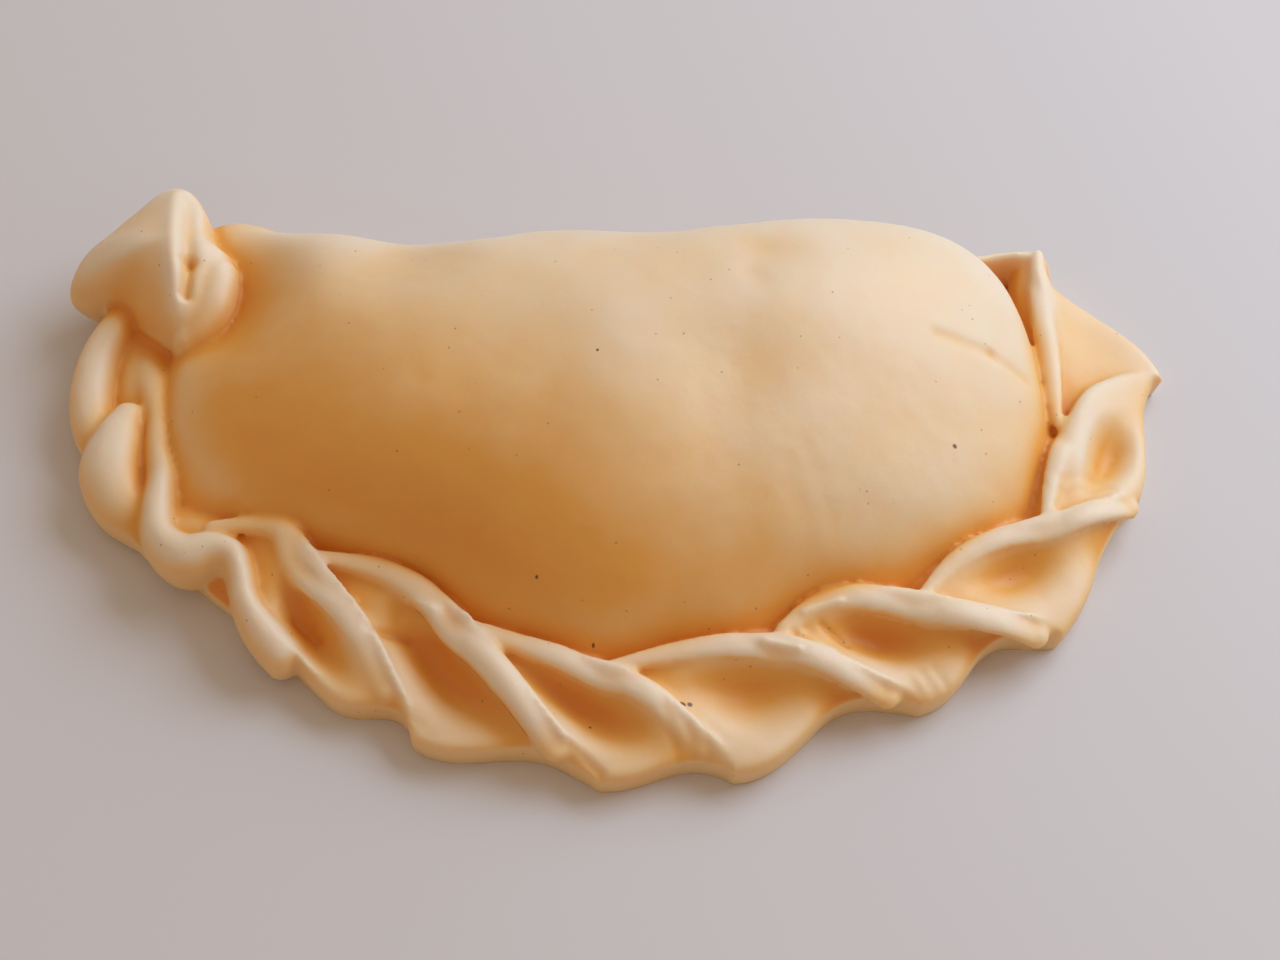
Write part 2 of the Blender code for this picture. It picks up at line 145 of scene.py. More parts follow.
# Each fold's edge is a roll of dough, one run along its lip and on down its crest: half width of
# each, how tall it is beside its width, how far it stands out past the edge and over the fold,
# where it starts and ends, how thin it starts and how deep its end sinks into the fold.
ROLL_HALF_WIDTHS = (1.3, 1.3, 1.5, 1.7, 1.6, 1.5, 1.7, 1.6)
ROLL_HEIGHT_SHARE = 0.6
ROLL_OUT = 0.3
ROLL_OVER = 0.1
ROLL_LIP_FROM = 0.94
ROLL_LIP_POINTS = 8
ROLL_CREST_TO = 0.78
ROLL_CREST_POINTS = 9
ROLL_THIN_END = 0.55
ROLL_SINK = 1.4
ROLL_SINK_POWER = 3
ROLL_SMOOTHING = 2

# The edges of the rope's section. Under the inner rim: (how far in, how far down) each row lies,
# and how far in its foot stands. Past the outer rim: (how far out, share of the rim's height).
NOSE_ROWS = ((2.0, 2.2), (1.2, 0.8))
INNER_FOOT = 1.2
OUTER_ROWS = ((0.5, 0.86), (0.5, 0.55), (0.2, 0.2), (0.0, 0.0))
OUTER_FOOT = 1.0

# The sheet of dough under everything: its height, how far inside the rope it ends, the places
# along each fold that it follows and the points of its back edge.
SHEET_TOP = 1.6
SHEET_INSET = 2.4
SHEET_STEPS = (0.0, 0.5)
SHEET_BACK = (
    (-57.0, 16.0),
    (-53.0, 24.0),
    (-37.0, 19.0),
    (-16.0, 18.0),
    (28.0, 18.5),
    (38.0, 23.0),
    (46.0, 25.0),
)

# Straps of dough, each a run of (x, y, z, half width, half height): the band that rises from
# the last fold along the pouch, the puffed face and the loop beside it, the floor between them,
# the floor of the groove beside the flap, and the thin web behind the flap. Their round ends
# reach on by the cap.
STRAP_CAP = 1.6
BAND = (
    (-54.0, 17.0, 3.2, 3.0, 2.2),
    (-53.8, 12.5, 3.4, 3.0, 2.4),
    (-53.0, 8.4, 4.0, 2.2, 2.6),
    (-52.3, 4.0, 4.2, 1.6, 2.9),
    (-51.9, 0.0, 4.3, 1.7, 3.1),
    (-51.2, -4.0, 4.5, 1.9, 3.3),
    (-51.3, -8.4, 4.7, 2.0, 3.3),
    (-50.6, -12.0, 4.8, 2.2, 3.4),
    (-48.0, -14.2, 4.8, 2.6, 3.7),
    (-45.0, -13.9, 4.9, 2.3, 3.9),
    (-42.8, -14.7, 5.0, 1.8, 3.8),
    (-41.8, -17.0, 4.9, 1.6, 3.6),
    (-41.3, -19.4, 4.6, 1.6, 3.4),
    (-40.2, -21.8, 4.2, 1.8, 3.3),
    (-38.6, -23.8, 3.8, 2.1, 3.1),
    (-37.0, -25.4, 3.2, 2.2, 2.8),
)
PUFF = (
    (-55.6, 5.0, 3.4, 2.3, 3.4),
    (-56.6, 1.6, 3.5, 3.3, 4.2),
    (-57.0, -1.8, 3.4, 3.6, 4.3),
    (-55.8, -5.4, 3.0, 3.3, 3.8),
    (-53.4, -8.0, 2.6, 2.6, 3.2),
    (-51.4, -9.6, 2.2, 1.8, 2.6),
)
LOOP = (
    (-55.5, 21.0, 4.0, 2.2, 2.6),
    (-57.6, 17.6, 4.2, 2.3, 2.9),
    (-59.6, 13.4, 3.8, 2.4, 3.1),
    (-60.2, 8.4, 3.4, 2.5, 3.1),
    (-59.4, 3.6, 3.0, 2.4, 2.8),
    (-56.8, 0.0, 2.6, 2.0, 2.4),
)
HOLLOW_FLOOR = (
    (-51.5, 24.5, 2.6, 4.0, 3.4),
    (-54.0, 20.0, 2.6, 4.4, 2.8),
    (-54.0, 14.0, 2.8, 4.4, 2.8),
    (-53.8, 8.5, 2.6, 4.2, 2.8),
    (-53.0, 2.0, 1.6, 4.2, 2.8),
    (-50.8, -8.0, 2.3, 4.0, 3.4),
    (-46.6, -11.2, 3.0, 3.6, 3.6),
    (-42.4, -12.4, 2.8, 2.8, 3.4),
)
GROOVE_FLOOR = (
    (38.6, 24.0, 0.8, 3.0, 2.2),
    (41.6, 21.0, 1.0, 3.0, 2.5),
    (43.4, 15.0, 1.2, 2.6, 2.6),
    (44.6, 8.0, 1.5, 2.4, 2.8),
    (45.0, 2.0, 1.8, 2.2, 2.8),
)
WEB = (
    (36.5, 25.4, 3.6, 1.1, 3.5),
    (40.5, 26.4, 3.6, 0.9, 3.4),
    (43.4, 26.7, 3.5, 0.9, 3.3),
)
EDGE_STRAPS = {
    "band": BAND,
    "puff": PUFF,
    "loop": LOOP,
    "hollow_floor": HOLLOW_FLOOR,
    "web": WEB,
    "groove_floor": GROOVE_FLOOR,
}

# The knot: the places its edge passes (x, y, height), its middle and how tall it is there, how
# its face falls and rounds over at the edge, and underneath (how far in, how far down) each row.
KNOT_EDGE = (
    (-63.9, 21.6, 6.4),
    (-62.9, 24.9, 7.6),
    (-60.0, 27.5, 8.8),
    (-57.2, 29.9, 9.8),
    (-54.6, 32.2, 10.6),
    (-52.4, 33.2, 11.0),
    (-50.2, 32.2, 11.2),
    (-48.2, 28.8, 11.4),
    (-46.8, 24.4, 11.4),
    (-44.7, 22.0, 11.2),
    (-45.0, 18.6, 10.6),
    (-46.3, 15.2, 10.0),
    (-47.8, 13.0, 9.4),
    (-50.0, 12.2, 8.8),
    (-52.8, 14.0, 7.6),
    (-55.2, 16.0, 7.0),
    (-57.4, 18.2, 6.6),
    (-59.6, 19.6, 6.4),
    (-61.8, 20.0, 6.2),
)
KNOT_MIDDLE = (-51.6, 22.4)
KNOT_TOP = 14.6
KNOT_PROFILE = 2.1
KNOT_EDGE_ROUND = 2.2
KNOT_EDGE_DROP = 1.6
KNOT_UNDER = ((0.3, 1.2), (1.0, 2.2), (2.2, 3.2), (3.2, 9.0))
KNOT_COLUMNS = 160
KNOT_ROWS = 40

# The end of the strip, tucked in beside the knot.
CURL = (
    (-46.9, 20.2, 10.4, 2.6, 2.5),
    (-46.8, 18.2, 10.1, 2.6, 2.5),
    (-47.1, 16.0, 9.5, 2.4, 2.5),
    (-48.2, 14.0, 8.6, 2.1, 2.4),
    (-49.6, 12.9, 7.8, 1.7, 2.2),
)

# Ridges and creases (below zero) worked into the skin: from (x, y) to (x, y), half width, height.
CREASES = (
    # The slot beside the knot's end, and the ridge along it.
    (-50.3, 29.4, -49.6, 20.0, 1.0, -0.7),
    (-49.4, 19.6, -49.7, 16.2, 0.7, -1.1),
    (-51.4, 30.0, -50.9, 14.0, 1.3, 0.5),
    # The torn lip of the third fold.
    (17.0, -22.6, 20.6, -21.5, 0.5, 0.35),
    (16.6, -24.7, 19.9, -26.4, 0.5, 0.3),
    (18.8, -23.4, 21.4, -25.0, 0.45, -0.4),
    # The stretch marks at the third fold's tip.
    (27.7, -28.4, 29.8, -32.0, 0.6, -0.14),
    (29.0, -27.7, 31.2, -31.2, 0.6, -0.13),
    (30.4, -27.4, 32.4, -30.1, 0.6, -0.13),
    # The torn lip of the fourth fold.
    (12.8, -26.5, 16.1, -27.2, 0.5, 0.4),
    (13.1, -27.6, 15.8, -28.0, 0.6, -0.14),
    # The stretch marks at the fourth fold's tip.
    (2.6, -33.7, 3.9, -37.5, 0.6, -0.17),
    (4.6, -34.5, 5.9, -38.0, 0.6, -0.13),
    (6.6, -35.3, 7.2, -38.5, 0.6, -0.13),
    # The raised lobe of the fifth fold, the wrinkle across it and its ragged lip.
    (-17.0, -26.4, -10.9, -34.5, 2.2, 0.6),
    (-7.2, -36.6, -4.0, -39.6, 0.5, -0.5),
    (-18.3, -23.4, -13.3, -23.9, 0.6, 0.35),
    # The bump on the sixth fold, the crease beside it and the wrinkles at its tip.
    (-24.1, -22.6, -21.7, -22.8, 1.0, 0.9),
    (-27.9, -23.9, -24.1, -23.9, 0.6, -0.5),
    (-24.3, -33.7, -21.9, -36.4, 0.6, -0.17),
    (-23.4, -33.1, -21.4, -35.0, 0.6, -0.13),
    # The seventh fold's creases.
    (-36.1, -21.5, -33.5, -23.4, 0.6, -0.45),
    (-33.9, -21.8, -31.5, -23.9, 0.6, -0.14),
    (-44.2, -8.5, -41.4, -8.1, 0.6, -0.13),
    # The first fold's creases.
    (45.1, -6.3, 50.3, -4.7, 0.6, -0.14),
    (45.7, -7.4, 49.9, -6.1, 0.6, -0.14),
    (44.9, -5.0, 48.7, -3.4, 0.6, -0.13),
    # The crease, the ripples and the dimple of the pouch.
    (31.7, 7.4, 37.7, 7.4, 0.7, -0.28),
    (37.7, 7.4, 41.6, 6.5, 0.7, -0.28),
    (15.3, -9.9, 17.5, -16.6, 1.2, -0.08),
    (17.5, -8.6, 19.9, -14.5, 1.0, -0.08),
    (12.0, 11.2, 12.5, 10.3, 1.6, -0.25),
)

# How finely the pieces are laid out.
FOLD_COLUMNS = 40
FOLD_CROWDING = 1.4
FOLD_ROWS = 36
UNDER_STEPS = (0.72, 0.4, 0.16)
POUCH_COLUMNS = 240
POUCH_ROWS = 60
POUCH_UNDER_ROWS = 24
STRAP_SIDES = 36
STRAP_STEPS = 10
STRAP_CAP_STEPS = 8
TANGENT_STEP = 0.05
RIM_STEPS = (0.0, 0.15, 0.5, 0.85)
WIDEST_REACH = 80.0
HALVINGS = 30

# How large the soft lumps and the small pits of the dough are, and up to what angle it is smooth.
LUMP_SIZE = 7.0
PIT_SIZE = 1.2
SMOOTH_ANGLE = 60.0

# The colour follows how deep a place lies among its surroundings, as painted shade: deeper places are
# painted darker and more orange, and raised places paler as a painted highlight. Reach and weight of
# each look, and between which steepnesses (the height of the normal) a wall begins to count.
PAINTED_SHADE_CELL = 0.7
PAINTED_SHADE_MARGIN = 16.0
PAINTED_SHADE_FILLS = 4
PAINTED_SHADE_REACHES = ((2.0, 0.22), (5.0, 0.04))
PAINTED_SHADE_UPRIGHT = (0.2, 0.7)

# The pouch's front and left side are painted darker and more orange than its back, a painted shade on
# the side away from the light, and its back is painted paler, a painted highlight: the way across it,
# where the change starts and ends along that way, how strong it is, and the heights where it sets in.
PAINTED_SIDE_LIGHT_WAY = (-0.55, -0.85)
PAINTED_SIDE_LIGHT_SPAN = (-6.0, 26.0)
PAINTED_SIDE_LIGHT_TONES = (-0.08, 0.21)
PAINTED_SIDE_LIGHT_HEIGHTS = (8.5, 12.0)

# The rope and the knot are painted paler, a painted light on their faces that lie in shade: their
# tone, and the knot's middle as seen from above, with the distances between which its painted light
# gives way to the pouch.
PAINTED_LIGHT_TONE = -0.05
KNOT_FACE = (-55.5, 22.5)
KNOT_PAINTED_LIGHT = (10.5, 12.0)

# Bran specks that stand out, each (x, y, radius) in the pastry's own place, and the fine ones:
# their radius, how closely they lie, how dark they are and the shares of a radius that stay whole.
SPECKS = (
    (7.6, -27.6, 0.4),
    (8.3, -27.4, 0.35),
    (-7.4, -15.8, 0.2),
    (-1.6, -21.1, 0.2),
    (6.5, -20.8, 0.25),
    (36.4, 0.4, 0.3),
    (37.7, -22.7, 0.3),
    (-1.9, -28.9, 0.18),
    (-1.2, 5.2, 0.2),
)
SPECK_CORE = 0.5
FINE_SPECK = 0.16
FINE_SPECK_SCALE = 420.0
FINE_SPECK_STRENGTH = 0.55
FINE_SPECK_CORE = 0.4

# The dough's finish: where the colours lie between high (0), the painted highlight, and deep (1), the
# painted shade, the size of its patches and of its grain, the grain's strength and height, its gloss,
# and how light scatters inside.
PAINTED_HIGHLIGHT_AT, DOUGH_AT, PAINTED_HALF_SHADE_AT, PAINTED_SHADE_AT = 0.32, 0.48, 0.63, 0.9
PATCH_SCALE = 110.0
GRAIN_SCALE = 1400.0
GRAIN_STRENGTH = 0.22
GRAIN_HEIGHT = 0.00008
GLOSS = 0.6
SCATTER = 0.5
SCATTER_COLOURS = (1.0, 0.45, 0.15)
SCATTER_REACH = 0.002

# The studio: the floor's size, and the colours of the room and of the window with its place and
# size.
FLOOR_SIZE = 4.0
FLOOR_ROUGHNESS = 0.6
ROOM_COLOUR = (1.0, 0.77, 0.56, 1.0)
WINDOW_COLOUR = (0.81, 0.95, 1.13)
WINDOW_PLACE = (0.36, 0.24, 0.34)
WINDOW_SIZE = (0.5, 0.4)

PIECE = "pastry_dough"
NODE = "pastry"


class PastrySizes(bpy.types.PropertyGroup):
    """Sizes of the pastry that a user would change."""

    pouch_height: FloatProperty(
        name="Pouch height", description="Height of the filled pouch", default=0.022, unit="LENGTH"
    )
    crest_round: FloatProperty(
        name="Crest rounding", description="How far back a fold's crest is rounded", default=0.0014,
        unit="LENGTH",
    )
    crest_drop: FloatProperty(
        name="Crest drop", description="How far a fold's crest drops at its edge", default=0.0009,
        unit="LENGTH",
    )
    lip_round: FloatProperty(
        name="Lip rounding", description="How far back a fold's lip is rounded", default=0.0018,
        unit="LENGTH",
    )
    lip_drop: FloatProperty(
        name="Lip drop", description="How far a fold's lip drops at its edge", default=0.0015,
        unit="LENGTH",
    )
    grid: FloatProperty(
        name="Grid", description="Grid the pieces are fused on", default=0.00034, unit="LENGTH"
    )
    smoothing: IntProperty(
        name="Smoothing", description="How often the fused skin is smoothed", default=7
    )
    triangles: IntProperty(
        name="Triangles", description="Most triangles in the finished skin", default=190000
    )
    lumps: FloatProperty(
        name="Lumps", description="Height of the dough's soft lumps", default=0.0003, unit="LENGTH"
    )
    pits: FloatProperty(
        name="Pits", description="Height of the dough's small pits", default=0.00003, unit="LENGTH"
    )


class PastryFinish(bpy.types.PropertyGroup):
    """Colours and gloss of the dough."""

    # Painted highlight: the pale colour painted on raised places, the pouch's back, the rope and the
    # knot, standing for light.
    painted_highlight: FloatVectorProperty(
        name="Cream", description="Colour of the dough's raised, drier places", subtype="COLOR",
        size=4, min=0.0, max=1.0, default=(0.84, 0.71, 0.54, 1.0),
    )
    dough: FloatVectorProperty(
        name="Dough", description="Colour of the dough's even faces", subtype="COLOR", size=4,
        min=0.0, max=1.0, default=(0.87, 0.59, 0.29, 1.0),
    )
    # Painted shade: the colour painted in shallow hollows and on the pouch's front and left side.
    painted_half_shade: FloatVectorProperty(
        name="Ochre", description="Colour of the dough's shallow hollows", subtype="COLOR",
        size=4, min=0.0, max=1.0, default=(0.84, 0.42, 0.08, 1.0),
    )
    # Painted shade: the colour painted deep in the folds, where shade falls.
    painted_shade: FloatVectorProperty(
        name="Hollow", description="Colour of the dough deep in its folds", subtype="COLOR",
        size=4, min=0.0, max=1.0, default=(0.80, 0.29, 0.03, 1.0),
    )
    patches: FloatProperty(
        name="Patches", description="How strong the dough's soft patches of colour are",
        default=0.06, min=0.0, max=1.0,
    )
    speck: FloatVectorProperty(
        name="Speck", description="Colour of the bran specks", subtype="COLOR", size=4,
        min=0.0, max=1.0, default=(0.16, 0.07, 0.025, 1.0),
    )
    roughness: FloatProperty(
        name="Roughness", description="How matt the dough is", default=0.5, min=0.0, max=1.0,
        subtype="FACTOR",
    )


class StudioSettings(bpy.types.PropertyGroup):
    """The floor, the light and the camera."""

    floor: FloatVectorProperty(
        name="Floor", description="Colour of the floor", subtype="COLOR", size=4, min=0.0,
        max=1.0, default=(0.67, 0.66, 0.69, 1.0),
    )
    window: FloatProperty(
        name="Window", description="Power of the large soft light", default=2.3, unit="POWER"
    )
    room: FloatProperty(
        name="Room", description="Strength of the light from all round", default=0.48
    )
    elevation: FloatProperty(
        name="Elevation", description="How steeply the camera looks down",
        default=math.radians(54.0), subtype="ANGLE",
    )
    distance: FloatProperty(
        name="Distance", description="Camera to the middle of the plan", default=0.36,
        unit="LENGTH",
    )
    view_angle: FloatProperty(
        name="Angle of view", description="How wide the camera sees", default=math.radians(22.0),
        subtype="ANGLE",
    )


def swell(distance):
    """A smooth bump: 1 at no distance, about 0.37 at 1, and nothing far away."""
    return np.exp(-distance * distance)


def rounding(distance, width, drop):
    """Drop of a rounded edge, a quarter of an ellipse, at a distance back from it."""
    if distance >= width:
        return 0.0
    return drop * (1.0 - math.sqrt(1.0 - (1.0 - distance / width) ** 2))


def crest_line(fold, cross):
    """Angle and radius of a fold's crest, from the inner rim (0) to the outer tip (1)."""
    inner_deg, inner_radius, outer_deg, outer_radius, sweep, hook = fold[:6]
    degrees = inner_deg + (outer_deg - inner_deg) * cross
    bow = hook * math.sin(math.pi * cross ** BOW_POWER)
    return degrees, inner_radius + (outer_radius - inner_radius) * cross ** sweep - bow


def crest_height(fold, cross):
    """Height of a fold's crest, which sinks to the rim at its outer tip."""
    height = fold[6]
    return height + (RIM_HEIGHT - height) * cross ** CREST_SINK_POWER


def wall_height(fold, cross):
    """Drop from a fold's crest to the fold before it, which opens just off the inner rim."""
    opened = min(1.0, WALL_AT_RIM + (1.0 - WALL_AT_RIM) * cross / WALL_OPENS)
    return fold[7] * (1.0 - cross ** WALL_FADE_POWER) * opened


def rope_top(index, step, cross, sizes):
    """Angle, radius and height of the rope between one crest (step 0) and the next (step 1)."""
    fold, following = FOLDS[index], FOLDS[index + 1]
    dish, lip, notch = fold[8:11]
    start_deg, start_radius = crest_line(fold, cross)
    end_deg, end_radius = crest_line(following, cross)
    degrees = start_deg + (end_deg - start_deg) * step
    fall = min(step, 1.0)
    lip_bow = lip * abs(math.sin(math.pi * fall)) ** LIP_POWER
    notch_bow = notch * math.sin(math.pi * step ** NOTCH_POWER) ** 2
    radius = start_radius + (end_radius - start_radius) * step
    radius -= lip_bow * (1.0 - cross) ** 2 + notch_bow * cross ** 2
    rim = fold[1] + (following[1] - fold[1]) * step - lip_bow
    width = fold[3] + (following[3] - fold[3]) * step - notch_bow - rim
    inside = max(radius - rim, 0.0)
    length = math.radians(abs(end_deg - start_deg)) * radius
    crest_width = CREST_WIDTH + CREST_SPREAD * (inside / width) ** 2
    along = max(fall * length - crest_width, 0.0) / (length - crest_width)
    ease = along * along * (3.0 - 2.0 * along)
    foot = crest_height(following, cross) - wall_height(following, cross)
    height = crest_height(fold, cross) * (1.0 - ease) + foot * ease
    part = min(max(inside - LIP_WIDTH, 0.0) / (width - LIP_WIDTH), 1.0)
    deep = abs(math.sin(math.pi * along) * math.sin(math.pi * part ** DISH_ACROSS_POWER))
    height -= dish * deep ** DISH_SHARPNESS
    height -= rounding(step * length, sizes.crest_round / MM, sizes.crest_drop / MM)
    height -= rounding(inside, sizes.lip_round / MM, sizes.lip_drop / MM)
    return degrees, radius, height


def to_plan(degrees, radius):
    """A place on the rope, as seen from above."""
    angle = math.radians(degrees)
    x = ROUND_MIDDLE[0] + radius * math.cos(angle)
    y = ROUND_MIDDLE[1] - radius * math.sin(angle)
    return x, y


def rope_section(index, step, sizes):
    """The closed outline across the rope, from its hidden inner foot over the top and back."""
    rim = rope_top(index, step, 0.0, sizes)
    outer = rope_top(index, step, 1.0, sizes)
    underside = [rope_top(index, step, cross, sizes)[:2] for cross in UNDER_STEPS]
    crosses = [0.5 - 0.5 * math.cos(math.pi * row / FOLD_ROWS) for row in range(FOLD_ROWS + 1)]
    section = [(rim[0], rim[1] - INNER_FOOT, -FLOOR_DEPTH)]
    section += [(rim[0], rim[1] - inset, rim[2] - drop) for inset, drop in NOSE_ROWS]
    section += [rope_top(index, step, cross, sizes) for cross in crosses]
    section += [(outer[0], outer[1] + outset, outer[2] * share) for outset, share in OUTER_ROWS]
    section.append((outer[0], outer[1] - OUTER_FOOT, -FLOOR_DEPTH))
    section += [(degrees, radius, -FLOOR_DEPTH) for degrees, radius in underside]
    return [(*to_plan(degrees, radius), height) for degrees, radius, height in section]


def make_piece(name, vertices, faces):
    """A new mesh object in millimetres, its faces turned outwards."""
    mesh = bpy.data.meshes.new(name)
    mesh.from_pydata([Vector(vertex) for vertex in vertices], [], faces)
    work = bmesh.new()
    work.from_mesh(mesh)
    bmesh.ops.remove_doubles(work, verts=work.verts, dist=0.0005)
    bmesh.ops.triangulate(work, faces=[face for face in work.faces if len(face.verts) > 4])
    bmesh.ops.recalc_face_normals(work, faces=work.faces)
    work.to_mesh(mesh)
    work.free()
    piece = bpy.data.objects.new(name, mesh)
    bpy.context.scene.collection.objects.link(piece)
    return piece


def loft(name, rings):
    """A closed skin over rings of equally many points, with a flat face at each end."""
    count = len(rings[0])
    vertices = [point for ring in rings for point in ring]
    faces = [tuple(range(count)), tuple(range((len(rings) - 1) * count, len(rings) * count))]
    for row in range(len(rings) - 1):
        for column in range(count):
            after = (column + 1) % count
            faces.append((
                row * count + column,
                row * count + after,
                (row + 1) * count + after,
                (row + 1) * count + column,
            ))
    return make_piece(name, vertices, faces)


def back_side(x):
    """How far back the straight side reaches at this X."""
    return POUCH_BACK + sum(move * swell((x - place) / half) for place, half, move in BACK_WAVES)


def rim_reaches(sizes):
    """Angles round the pouch's curved side, and how far it reaches at each from the middle."""
    angles, reaches = [], []
    for index in range(len(FOLDS) - 1):
        for step in RIM_STEPS:
            angle, radius, _ = rope_top(index, step, 0.0, sizes)
            angles.append(angle)
            off_flap = 0.0 if index else POUCH_OFF_FLAP * (1.0 - step) ** POUCH_OFF_FLAP_POWER
            reaches.append(radius + POUCH_UNDER_RIM + off_flap)
    angles.append(POUCH_KNOT_SIDE[0])
    reaches.append(POUCH_KNOT_SIDE[1])
    return angles, reaches


def outside_pouch(x, y, rim):
    """Distance outside the pouch's outline from above, below zero inside it."""
    from_middle_x, from_middle_y = x - ROUND_MIDDLE[0], ROUND_MIDDLE[1] - y
    degrees = math.degrees(math.atan2(from_middle_y, from_middle_x))
    if degrees < -90.0:
        degrees += 360.0
    reach = float(np.interp(degrees, *rim))
    front = math.hypot(from_middle_x, from_middle_y) - reach
    back = y - back_side(x)
    return math.exp(front / POUCH_CORNER) + math.exp(back / POUCH_CORNER) - 1.0


def pouch_reach(angle, rim):
    """Distance from the pouch's top to its outline, in a direction from above."""
    near, far = 0.0, WIDEST_REACH
    for _ in range(HALVINGS):
        middle = 0.5 * (near + far)
        x = POUCH_TOP[0] + middle * math.cos(angle)
        y = POUCH_TOP[1] + middle * math.sin(angle)
        if outside_pouch(x, y, rim) < 0.0:
            near = middle
        else:
            far = middle
    return near


def pouch_swells(x, y):
    """The pouch's soft swells and hollows at a place."""
    total = 0.0
    for place_x, place_y, half_x, half_y, turn, height in POUCH_SWELLS:
        angle = math.radians(turn)
        along = (x - place_x) * math.cos(angle) + (y - place_y) * math.sin(angle)
        aside = (y - place_y) * math.cos(angle) - (x - place_x) * math.sin(angle)
        total += height * swell(math.hypot(along / half_x, aside / half_y))
    return total


def soften(values, width):
    """The values round a ring, averaged over a width given as a share of the ring."""
    count = len(values)
    if width * count < 0.5:
        return values
    away = np.minimum(np.arange(count), count - np.arange(count)) / (width * count)
    weights = swell(away)
    weights /= weights.sum()
    return [float(np.dot(np.roll(weights, column), values)) for column in range(count)]


def backness_at(angle):
    """How far a side of the pouch counts as its back: 0 at the front, 1 at the back."""
    part = (math.sin(angle) - BACK_FROM) / (BACK_WHOLE - BACK_FROM)
    part = min(max(part, 0.0), 1.0)
    return part * part * (3.0 - 2.0 * part)


def pouch_ring(row, angles, outline, top):
    """One ring of the pouch, from its top (row 0) to its girth and on underneath."""
    lean = 0.5 * math.pi * row / POUCH_ROWS
    inside = 1.0 - math.sin(min(lean, 0.5 * math.pi))
    reaches = soften(outline, POUCH_SOFTENING * math.sqrt(inside))
    ring = []
    for angle, reach in zip(angles, reaches):
        backness = backness_at(angle)
        girth = POUCH_GIRTH_FRONT + (POUCH_GIRTH_BACK - POUCH_GIRTH_FRONT) * backness
        slope = POUCH_SLOPE_FRONT + (POUCH_SLOPE_BACK - POUCH_SLOPE_FRONT) * backness
        x = POUCH_TOP[0] + reach * math.sin(lean) * math.cos(angle)
        y = POUCH_TOP[1] + reach * math.sin(lean) * math.sin(angle)
        if row <= POUCH_ROWS:
            up = max(math.cos(lean), 0.0) ** (2.0 * slope)
            height = girth + (top - girth) * up + pouch_swells(x, y) * up ** POUCH_SWELL_FADE
        else:
            height = girth + (girth + FLOOR_DEPTH) * math.cos(lean) * POUCH_UNDER_CURVE
        ring.append((x, y, height))
    return ring


def smooth_run(points, position):
    """A point on a smooth curve through the given points (whole positions are the points)."""
    values = [np.array(point, dtype=float) for point in points]
    index = min(int(position), len(values) - 2)
    part = position - index
    before = values[max(index - 1, 0)]
    start, end = values[index], values[index + 1]
    after = values[min(index + 2, len(values) - 1)]
    return 0.5 * (
        2.0 * start
        + (end - before) * part
        + (2.0 * before - 5.0 * start + 4.0 * end - after) * part ** 2
        + (3.0 * start - before - 3.0 * end + after) * part ** 3
    )


def strap_ring(run, position, shrink, shift):
    """One oval ring across a strap, square to its run as seen from above."""
    x, y, z, half_width, half_height = smooth_run(run, position)
    ahead = smooth_run(run, min(position + TANGENT_STEP, len(run) - 1))
    behind = smooth_run(run, max(position - TANGENT_STEP, 0.0))
    along = Vector((ahead[0] - behind[0], ahead[1] - behind[1], 0.0)).normalized()
    aside = Vector((-along.y, along.x, 0.0))
    up = Vector((0.0, 0.0, 1.0))
    middle = Vector((x, y, z)) + along * shift
    ring = []
    for side in range(STRAP_SIDES):
        angle = 2.0 * math.pi * side / STRAP_SIDES
        ring.append(
            middle
            + aside * (half_width * shrink * math.cos(angle))
            + up * (half_height * shrink * math.sin(angle))
        )
    return ring


def make_strap(name, run):
    """A strap of dough with round ends, along a smooth run."""
    last = len(run) - 1
    leans = [0.5 * math.pi * step / STRAP_CAP_STEPS for step in range(1, STRAP_CAP_STEPS)]
    rings = [strap_ring(run, 0.0, math.sin(lean), -STRAP_CAP * math.cos(lean)) for lean in leans]
    for step in range(last * STRAP_STEPS + 1):
        rings.append(strap_ring(run, step / STRAP_STEPS, 1.0, 0.0))
    leans.reverse()
    rings += [strap_ring(run, last, math.sin(lean), STRAP_CAP * math.cos(lean)) for lean in leans]
    return loft(name, rings)


def roll_run(index, sizes):
    """The run of a fold's rolled edge: along its lip to the crest, and down the crest."""
    lips = [ROLL_LIP_FROM * (1.0 - point / ROLL_LIP_POINTS) for point in range(ROLL_LIP_POINTS)]
    crosses = [ROLL_CREST_TO * point / ROLL_CREST_POINTS for point in range(ROLL_CREST_POINTS + 1)]
    if index == 0:  # The flap's roll ends at the flap's corner.
        crosses = []
    edge = [rope_top(index, step, 0.0, sizes) for step in lips]
    edge += [rope_top(index, 0.0, cross, sizes) for cross in crosses]
    drop = [sizes.lip_drop / MM] * len(lips) + [sizes.crest_drop / MM] * len(crosses)
    places = np.array([
        (*to_plan(degrees, radius), height + fall)
        for (degrees, radius, height), fall in zip(edge, drop)
    ])
    for _ in range(ROLL_SMOOTHING):
        places[1:-1] = 0.5 * places[1:-1] + 0.25 * (places[:-2] + places[2:])
    ahead = np.gradient(places[:, :2], axis=0)
    ahead /= np.linalg.norm(ahead, axis=1)[:, None]
    run = []
    for point, (x, y, z) in enumerate(places):
        part = point / (len(places) - 1)
        ends = 1.0 - (1.0 - ROLL_THIN_END) * max(1.0 - 2.0 * part, 0.0) ** 2
        half = ROLL_HALF_WIDTHS[index] * ends
        inset = half - ROLL_OUT
        tall = half * ROLL_HEIGHT_SHARE
        sink = ROLL_SINK * max(2.0 * part - 1.0, 0.0) ** ROLL_SINK_POWER
        run.append((
            x + ahead[point, 1] * inset,
            y - ahead[point, 0] * inset,
            z + ROLL_OVER - sink - tall,
            half,
            tall,
        ))
    return run


